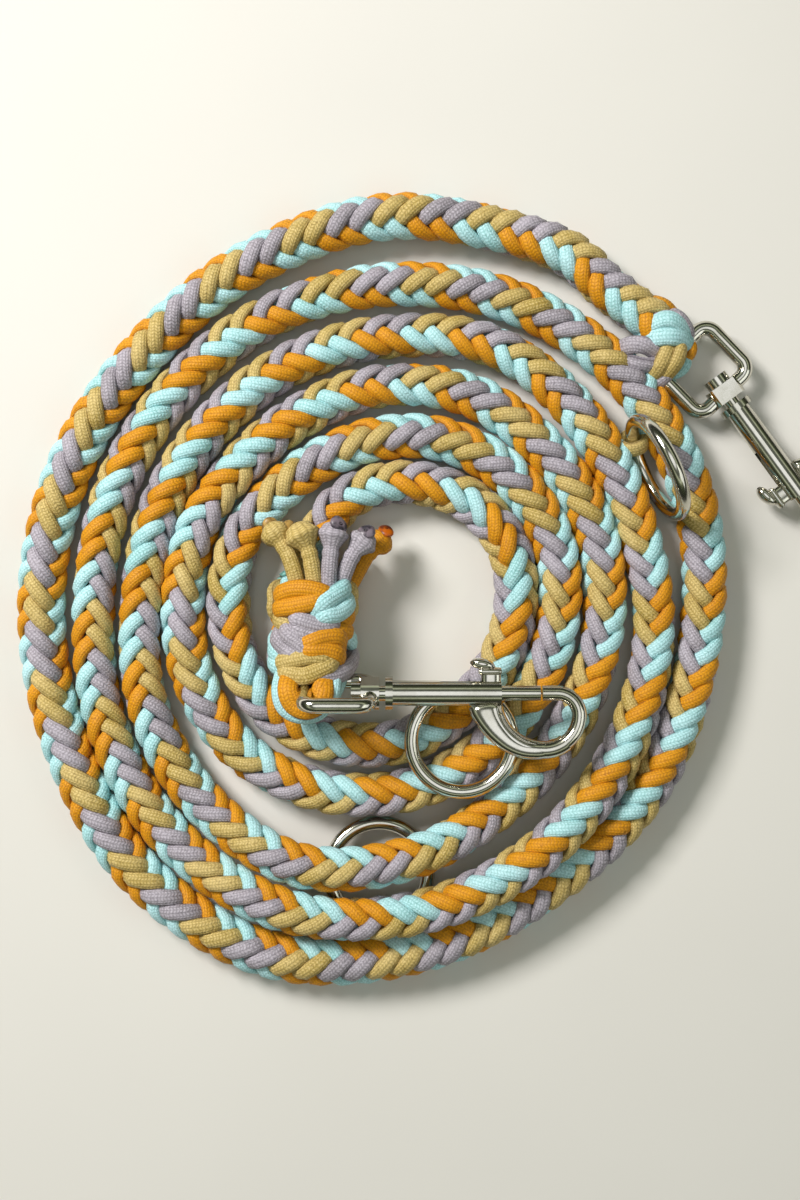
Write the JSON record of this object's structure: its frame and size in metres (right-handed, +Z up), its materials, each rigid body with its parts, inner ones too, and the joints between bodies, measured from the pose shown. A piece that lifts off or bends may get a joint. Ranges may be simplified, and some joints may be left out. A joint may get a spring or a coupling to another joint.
{
  "type": "lead rope",
  "caption": "Round-braided cord lead, coiled flat, with a swivel trigger snap at each end, a stopper knot with loose tails, and O-rings held in the braid for shortening it.",
  "frame": {"origin": "bottom centre of the bounding box of the coiled lead, on the surface it lies on", "axes": "+Z up, +X along the barrel of the snap at the middle, from its eye to its hook, +Y from the lead's middle towards the side where the rope's outer end turns to the second snap"},
  "size_m": [0.2469, 0.2241, 0.0361],
  "materials": {
    "cord_orange": "woven nylon cord sheath",
    "cord_mint": "woven nylon cord sheath",
    "cord_tan": "woven nylon cord sheath",
    "cord_grey": "woven nylon cord sheath",
    "nickel": "polished nickel plate",
    "spring_steel": "plain spring wire"
  },
  "bodies": {
    "rope": {"braided_rope": "cord_orange", "stopper_knot": "cord_tan", "end_loop": "cord_orange", "tail_tan_1": "cord_tan", "tail_tan_2": "cord_tan", "tail_grey_1": "cord_grey", "tail_grey_2": "cord_grey", "tail_orange_1": "cord_orange", "tail_orange_2": "cord_orange", "tail_mint_1": "cord_mint", "tail_mint_2": "cord_mint", "bight_orange": "cord_orange", "bight_mint": "cord_mint", "bight_tan": "cord_tan", "bight_grey": "cord_grey", "ring_keeper_1": "cord_orange", "ring_keeper_2": "cord_grey", "ring_keeper_3": "cord_tan"},
    "ring_1": {"ring_1": "nickel"},
    "ring_2": {"ring_2": "nickel"},
    "ring_3": {"ring_3": "nickel"},
    "eye_a": {"a_eye": "nickel"},
    "snap_a": {"a_rivet": "nickel", "a_body": "nickel", "a_spring": "spring_steel"},
    "bolt_a": {"a_bolt": "nickel", "a_knob": "nickel"},
    "eye_b": {"b_eye": "nickel"},
    "snap_b": {"b_rivet": "nickel", "b_body": "nickel", "b_spring": "spring_steel"},
    "bolt_b": {"b_bolt": "nickel", "b_knob": "nickel"}
  },
  "joints": [
    {"name": "ring_1_spin", "type": "hinge", "parent": "rope", "child": "ring_1", "pos_m": [0.003, -0.0434, 0.0146], "axis": [0, 0, 1], "continuous": true},
    {"name": "ring_2_spin", "type": "hinge", "parent": "rope", "child": "ring_2", "pos_m": [-0.0205, -0.082, 0.0038], "axis": [0.1045, 0, 0.9945], "continuous": true},
    {"name": "ring_3_spin", "type": "hinge", "parent": "rope", "child": "ring_3", "pos_m": [0.0577, 0.0333, 0.0163], "axis": [0.8986, 0.419, -0.1305], "continuous": true},
    {"name": "eye_a_pivot", "type": "hinge", "parent": "rope", "child": "eye_a", "pos_m": [-0.0406, -0.0294, 0.0245], "axis": [0, -0.2924, 0.9563], "range_deg": [-6, 2]},
    {"name": "swivel_a", "type": "hinge", "parent": "eye_a", "child": "snap_a", "pos_m": [-0.0226, -0.0294, 0.0245], "axis": [1, 0, 0], "range_deg": [-15, 6]},
    {"name": "bolt_a_slide", "type": "slide", "parent": "snap_a", "child": "bolt_a", "axis": [1, 0, 0], "range_m": [-0.0104, 0], "stiffness_N_per_m": 200, "springref_m": 0.004, "deforming": ["a_spring"]},
    {"name": "eye_b_pivot", "type": "hinge", "parent": "rope", "child": "eye_b", "pos_m": [0.066, 0.06845, 0.0065], "axis": [-0.7193, -0.6947, 0], "range_deg": [0, 80]},
    {"name": "swivel_b", "type": "hinge", "parent": "eye_b", "child": "snap_b", "pos_m": [0.0785, 0.0555, 0.0065], "axis": [0.5878, -0.809, 0], "continuous": true},
    {"name": "bolt_b_slide", "type": "slide", "parent": "snap_b", "child": "bolt_b", "axis": [0.5878, -0.809, 0], "range_m": [-0.0104, 0], "stiffness_N_per_m": 200, "springref_m": 0.004, "deforming": ["b_spring"]}
  ]
}
